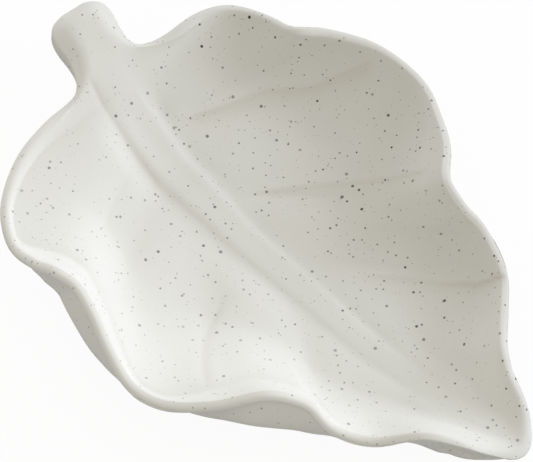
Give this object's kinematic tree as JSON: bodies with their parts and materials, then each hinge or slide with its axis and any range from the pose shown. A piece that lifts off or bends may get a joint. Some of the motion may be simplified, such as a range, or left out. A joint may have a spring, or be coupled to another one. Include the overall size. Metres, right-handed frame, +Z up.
{
  "type": "ring dish",
  "caption": "Leaf-shaped cast ceramic dish with folded lobes, a raised midrib and a stem handle, for rings and small jewellery.",
  "frame": {"origin": "on the table, under the middle of the dish's outline", "axes": "+X along the leaf from its stem to its tip, +Y to the leaf's right, +Z up"},
  "size_m": [0.1304, 0.0898, 0.0205],
  "materials": {
    "speckled_ceramic": "matte cream-white glaze with fine dark specks",
    "clear_silicone": "soft clear silicone, satin"
  },
  "bodies": {
    "root": {"dish_body": "speckled_ceramic", "pad_stem_left": "clear_silicone", "pad_stem_right": "clear_silicone", "pad_tip_left": "clear_silicone", "pad_tip_right": "clear_silicone"}
  },
  "joints": []
}
